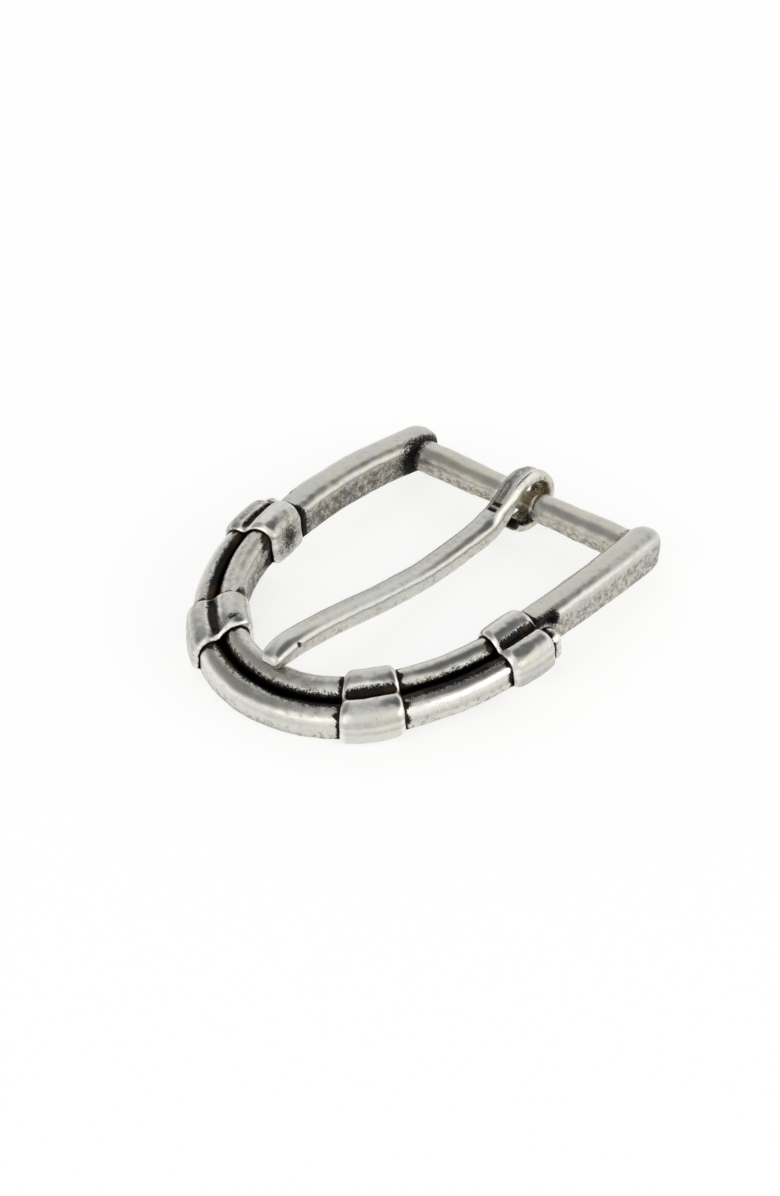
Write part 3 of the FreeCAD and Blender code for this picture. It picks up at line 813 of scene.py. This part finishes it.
def prong():
    """Tapered shank with its tail flattened and curled round the crossbar as an open loop."""
    t = np.linspace(LOOP_END, LOOP_START, 150)
    loop = np.stack([LOOP_X + LOOP_LENGTH * np.cos(t), LOOP_Z + LOOP_HEIGHT * np.sin(t)], -1)
    leave = np.array([LOOP_LENGTH * math.sin(LOOP_START), -LOOP_HEIGHT * math.cos(LOOP_START)])
    shank = spline([tuple(loop[-1])] + SHANK, leave / np.linalg.norm(leave), TIP_SLOPE, SHANK_GAP)
    line = np.concatenate([loop[:-1], shank])
    run = np.concatenate([[0], np.cumsum(np.linalg.norm(np.diff(line, axis=0), axis=1))])
    root = run[len(loop) - 1]
    length = run[-1]
    tangent = np.gradient(line, run, axis=0)
    tangent /= np.linalg.norm(tangent, axis=1)[:, None]

    count = 80
    q = np.linspace(0, 2 * math.pi, count, endpoint=False)
    c, sn = np.cos(q)[None, :], np.sin(q)[None, :]
    s = run[:, None]
    swell = smooth(s, root, root + BLEND)
    taper = np.clip(1 - (length - s) / TIP_LENGTH, 0, 1) ** 2
    width = STRAP_W + (PRONG_W - STRAP_W) * swell + (TIP_W - PRONG_W) * taper
    thick = STRAP_T + (PRONG_T - STRAP_T) * swell + (TIP_T - PRONG_T) * taper
    tail_size = rounded_end(s, TAIL_DOME)
    tip_size = rounded_end(length - s, TIP_DOME)
    power = 2.0 / (3.4 + (2.35 - 3.4) * swell)
    reach = np.sign(c) * np.abs(c) ** power
    y = reach * width / 2 * (0.55 + 0.45 * tail_size) * (0.45 + 0.55 * tip_size)
    up = np.sign(sn) * np.abs(sn) ** power * thick / 2 * tail_size * tip_size

    # the strap's outer face: a bright bead along its right edge, a dished middle, a lower left edge
    face = smooth(sn, 0.0, 0.6)
    angle = np.interp(s, run[:len(loop)], np.degrees(t), right=0.0)
    beaded = (1 - smooth(angle, 95, 150)) * (1 - smooth(s, root + 2.5, root + BLEND + 1.0))
    dished = (1 - smooth(angle, 120, 200)) * (1 - smooth(s, root + 1.0, root + BLEND))
    up = up + face * beaded * 0.42 * bump(y, 1.05, 0.75)
    up = up - face * dished * (0.20 * bump(y, -0.30, 1.0) + 0.26 * smooth(-y, 0.8, 1.7))
    marks = np.zeros_like(up)
    for centre in MARKS:
        short = 1 - smooth(np.abs(s - root - centre), 0.26, 0.42)
        wide = 1 - smooth(np.abs(y - MARK_Y), 0.70, 0.90)
        marks = np.maximum(marks, short * wide * face)
    up = up - 0.10 * marks
    y = y + STRAP_SHIFT * (1 - swell)

    centre = line[:, None, :]
    normal = np.stack([-tangent[:, 1], tangent[:, 0]], -1)[:, None, :]
    flat = centre + normal * up[..., None]
    grid = np.stack([BAR_X + flat[..., 0], y, BAR_Z + flat[..., 1]], -1)
    calm = smooth(s, 0.8, 2.5) * (1 - smooth(s, length - 2.0, length - 0.8))
    calm = calm * (0.4 + 0.6 * smooth(s, root, root + 4))
    lumps = (0.024 * waves(grid, 8.0, 71) + 0.007 * waves(grid, 2.0, 72)) * calm
    grid = grid + ring_normals(grid) * lumps[..., None]

    curled = 1 - smooth(s, root - 1, root + 2)
    inside = curled * smooth(-sn, 0.1, 0.6)
    under = smooth(-sn, 0.0, 0.5)
    crevice = np.where(angle > 0, np.maximum(smooth(angle, 285, 315) * under, smooth(angle, 318, 330)),
                       (1 - smooth(s, root + 2.2, root + 3.6)) * under)
    shade = dished * (1 - smooth(y, 0.45, 0.95)) * smooth(y, -1.5, -1.2) * face
    # painted reflection: a soft dark streak along the top of the shank
    painted_reflection_streak = smooth(s, root + 4, root + 9) * (1 - smooth(s, length - 9, length - 5))
    pits = np.zeros_like(up)
    for ahead, right, above, size in PITS:
        far = np.linalg.norm(grid - np.array([BAR_X + ahead, right, BAR_Z + above]), axis=-1)
        pits = np.maximum(pits, np.exp(-(far / size) ** 4))
    grime = inside * (0.50 + 0.16 * bump(angle, 250, 60))
    looks = {
        "patina": np.clip(np.maximum.reduce([grime, 1.1 * crevice, 0.92 * marks, 0.8 * pits]), 0, 1),
        "film_and_painted_shade": np.clip(0.30 * painted_reflection_streak * bump(y, -0.25, 0.9) * face + 0.75 * shade, 0, 1),
        "speckle": np.clip(0.08 + 0.40 * smooth(-sn, -0.75, 0.2) + 0.12 * curled + 0.6 * inside, 0, 1),
        "wear_and_painted_highlight": np.clip(0.5 * beaded * bump(y - STRAP_SHIFT, 1.0, 0.7) * face, 0, 1),
        "brass": 0.8 * inside,
    }
    make_piece("prong_looks", grid, looks, PRONG, "prong", ["prong"])


inner_rail()
outer_rail()
collar("right_rear_collar_looks", REAR_COLLAR, "right_rear_collar", 33)
collar("right_front_collar_looks", FRONT_COLLAR, "right_front_collar", 34)
collar("left_front_collar_looks", 2 * HALF - FRONT_COLLAR, "left_front_collar", 35, top_smudge)
collar("left_rear_collar_looks", 2 * HALF - REAR_COLLAR, "left_rear_collar", 36, side_smudge)
arm(1, "right_arm_looks", "right_arm")
arm(-1, "left_arm_looks", "left_arm")
crossbar()
prong()


# ---------------------------------------------------------------- floor, light, camera
AZIMUTH = math.radians(131.952)
ELEVATION = math.radians(36.430)
ROLL = math.radians(-2.711)
DISTANCE = 0.647156      # metres
AIM = Vector((1.9664, -0.3269, 3.1281)) * MM
LENS = 143.4
TOWARD = Vector((math.sin(AZIMUTH), -math.cos(AZIMUTH), 0))
RIGHT = Vector((math.cos(AZIMUTH), math.sin(AZIMUTH), 0))
BACK = TOWARD * math.cos(ELEVATION) + Vector((0, 0, math.sin(ELEVATION)))
FLOOR_HALF = 3.0         # metres
FLOOR_GAP = 0.00005


def studio(turn, height):
    """Direction turned from the viewer's side toward the view's right, and raised, in degrees."""
    turn, height = math.radians(turn), math.radians(height)
    level = TOWARD * math.cos(turn) + RIGHT * math.sin(turn)
    return level * math.cos(height) + Vector((0, 0, math.sin(height)))


def floor():
    """Plain pale floor just under the lowest point."""
    mesh = bpy.data.meshes.new("floor")
    corners = [(x * FLOOR_HALF, y * FLOOR_HALF, 0) for x, y in ((-1, -1), (1, -1), (1, 1), (-1, 1))]
    mesh.from_pydata(corners, [], [(0, 1, 2, 3)])
    o = bpy.data.objects.new("floor", mesh)
    bpy.context.scene.collection.objects.link(o)
    m = bpy.data.materials.new("pale_floor")
    m.use_nodes = True
    shader = m.node_tree.nodes["Principled BSDF"]
    shader.inputs["Base Color"].default_value = (0.42, 0.42, 0.417, 1)
    shader.inputs["Roughness"].default_value = 0.9
    shader.inputs["Specular IOR Level"].default_value = 0.1
    shader.inputs["Emission Color"].default_value = (1.0, 1.0, 0.995, 1)
    shader.inputs["Emission Strength"].default_value = 0.70
    mesh.materials.append(m)
    lowest = min(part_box(n)[0].z for n in frame["nodes"])
    o.location.z = lowest - FLOOR_GAP


def world():
    """Soft surroundings: pale, with one bright and two dark areas for the metal to reflect."""
    w = bpy.data.worlds.new("studio")
    bpy.context.scene.world = w
    w.use_nodes = True
    nodes, links = w.node_tree.nodes, w.node_tree.links
    nodes.clear()
    coords = nodes.new("ShaderNodeTexCoord")

    def lobe(direction, low, high):
        dot = nodes.new("ShaderNodeVectorMath")
        dot.operation = "DOT_PRODUCT"
        links.new(coords.outputs["Generated"], dot.inputs[0])
        dot.inputs[1].default_value = direction
        r = nodes.new("ShaderNodeMapRange")
        r.interpolation_type = "SMOOTHSTEP"
        links.new(dot.outputs["Value"], r.inputs["Value"])
        r.inputs["From Min"].default_value = math.cos(math.radians(low))
        r.inputs["From Max"].default_value = math.cos(math.radians(high))
        return r.outputs["Result"]

    def blend(factor, a, b):
        n = nodes.new("ShaderNodeMix")
        n.data_type = "RGBA"
        links.new(factor, n.inputs[0])
        for socket, value in ((n.inputs[6], a), (n.inputs[7], b)):
            if isinstance(value, tuple):
                socket.default_value = (*value, 1)
            else:
                links.new(value, socket)
        return n.outputs[2]

    colour = blend(lobe(studio(180, 20), 70, 40), (0.96, 0.96, 0.96), (0.92, 0.92, 0.93))
    colour = blend(lobe(studio(78, 16), 38, 18), colour, (1.32, 1.32, 1.31))
    colour = blend(lobe(studio(-105, 42), 40, 14), colour, (0.34, 0.34, 0.35))
    colour = blend(lobe(studio(92, 68), 40, 20), colour, (0.16, 0.16, 0.17))
    back = nodes.new("ShaderNodeBackground")
    links.new(colour, back.inputs["Color"])
    back.inputs["Strength"].default_value = 1.0
    out = nodes.new("ShaderNodeOutputWorld")
    links.new(back.outputs[0], out.inputs["Surface"])


def softbox(name, turn, height, distance, size, power):
    light = bpy.data.lights.new(name, "AREA")
    light.shape = "RECTANGLE"
    light.size, light.size_y = size
    light.energy = power
    o = bpy.data.objects.new(name, light)
    bpy.context.scene.collection.objects.link(o)
    spot = studio(turn, height) * distance
    o.location = spot
    o.rotation_euler = (-spot).to_track_quat("-Z", "Y").to_euler()


def camera():
    up = BACK.cross(RIGHT)
    across = RIGHT * math.cos(ROLL) + up * math.sin(ROLL)
    above = up * math.cos(ROLL) - RIGHT * math.sin(ROLL)
    data = bpy.data.cameras.new("camera")
    data.lens = LENS
    data.sensor_width = 36.0
    data.clip_start = 0.01
    o = bpy.data.objects.new("camera", data)
    bpy.context.scene.collection.objects.link(o)
    spot = AIM + BACK * DISTANCE
    o.matrix_world = Matrix((
        (across.x, above.x, BACK.x, spot.x),
        (across.y, above.y, BACK.y, spot.y),
        (across.z, above.z, BACK.z, spot.z),
        (0, 0, 0, 1),
    ))
    bpy.context.scene.camera = o


floor()
world()
softbox("softbox_left", -45, 18, 0.9, (0.6, 0.5), 0.45)
softbox("softbox_right", 42, 16, 0.9, (0.6, 0.5), 0.45)
camera()
bpy.context.scene.view_settings.view_transform = "Standard"
